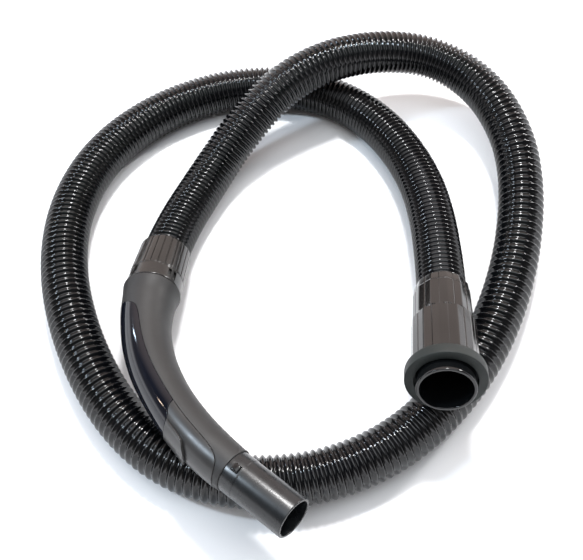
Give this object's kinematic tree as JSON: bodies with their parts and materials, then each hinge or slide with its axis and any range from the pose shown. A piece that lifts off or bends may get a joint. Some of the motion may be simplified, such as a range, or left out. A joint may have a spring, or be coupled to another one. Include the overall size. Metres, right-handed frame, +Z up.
{
  "type": "vacuum cleaner hose",
  "caption": "Corrugated suction hose laid in loose coils, with a bent swivelling hand grip and wand nozzle on one end and a swivelling machine connector on the other.",
  "frame": {"origin": "on the floor, under the middle of the handle and the machine connector taken together", "axes": "+Z up; +Y away from the front edge that the nozzle points over, +X to the right, as seen by someone who stands at the nozzle's side"},
  "size_m": [0.468, 0.527, 0.1076],
  "materials": {
    "hose_black": "gloss",
    "satin_black": "satin, finely textured",
    "gloss_black": "high gloss",
    "flange_rubber": "matte",
    "seal_rubber": "matte",
    "slip_plastic": "natural acetal",
    "spring_steel": "brushed"
  },
  "bodies": {
    "hose": {"hose": "hose_black", "handle_end_sleeve": "slip_plastic", "handle_cuff": "satin_black", "handle_thrust_washer": "slip_plastic", "handle_swivel_ring": "gloss_black", "machine_end_sleeve": "slip_plastic", "machine_cuff": "gloss_black", "machine_thrust_washer": "slip_plastic", "machine_retaining_ring": "spring_steel"},
    "handle": {"handle_body": "satin_black", "handle_swivel_seal": "seal_rubber", "nozzle_tube": "gloss_black", "grip_cover": "gloss_black", "vent_cover": "satin_black", "bleed_gasket": "seal_rubber", "lock_spring": "spring_steel"},
    "slider": {"bleed_slider": "satin_black"},
    "lock": {"lock_button": "satin_black"},
    "spigot": {"machine_spigot": "gloss_black", "spigot_o_ring": "seal_rubber", "connector_flange": "flange_rubber"}
  },
  "joints": [
    {"name": "handle_swivel", "type": "hinge", "parent": "hose", "child": "handle", "pos_m": [-0.1173, 0.1354, 0.0248], "axis": [-0.123, -0.9739, 0.1908], "range_deg": [0, 130]},
    {"name": "bleed_slide", "type": "hinge", "parent": "handle", "child": "slider", "pos_m": [0.11995, 0.09388, 0.02703], "axis": [0.0239, 0.1893, 0.9816], "range_deg": [0, 1.6]},
    {"name": "lock_press", "type": "slide", "parent": "handle", "child": "lock", "axis": [0.1539, 0.0156, -0.988], "range_m": [0, 0.002], "stiffness_N_per_m": 600, "springref_m": -0.002, "deforming": ["lock_spring"]},
    {"name": "connector_swivel", "type": "hinge", "parent": "hose", "child": "spigot", "pos_m": [0.114, -0.024, 0.077], "axis": [-0.093, -0.9658, 0.2419], "continuous": true}
  ]
}
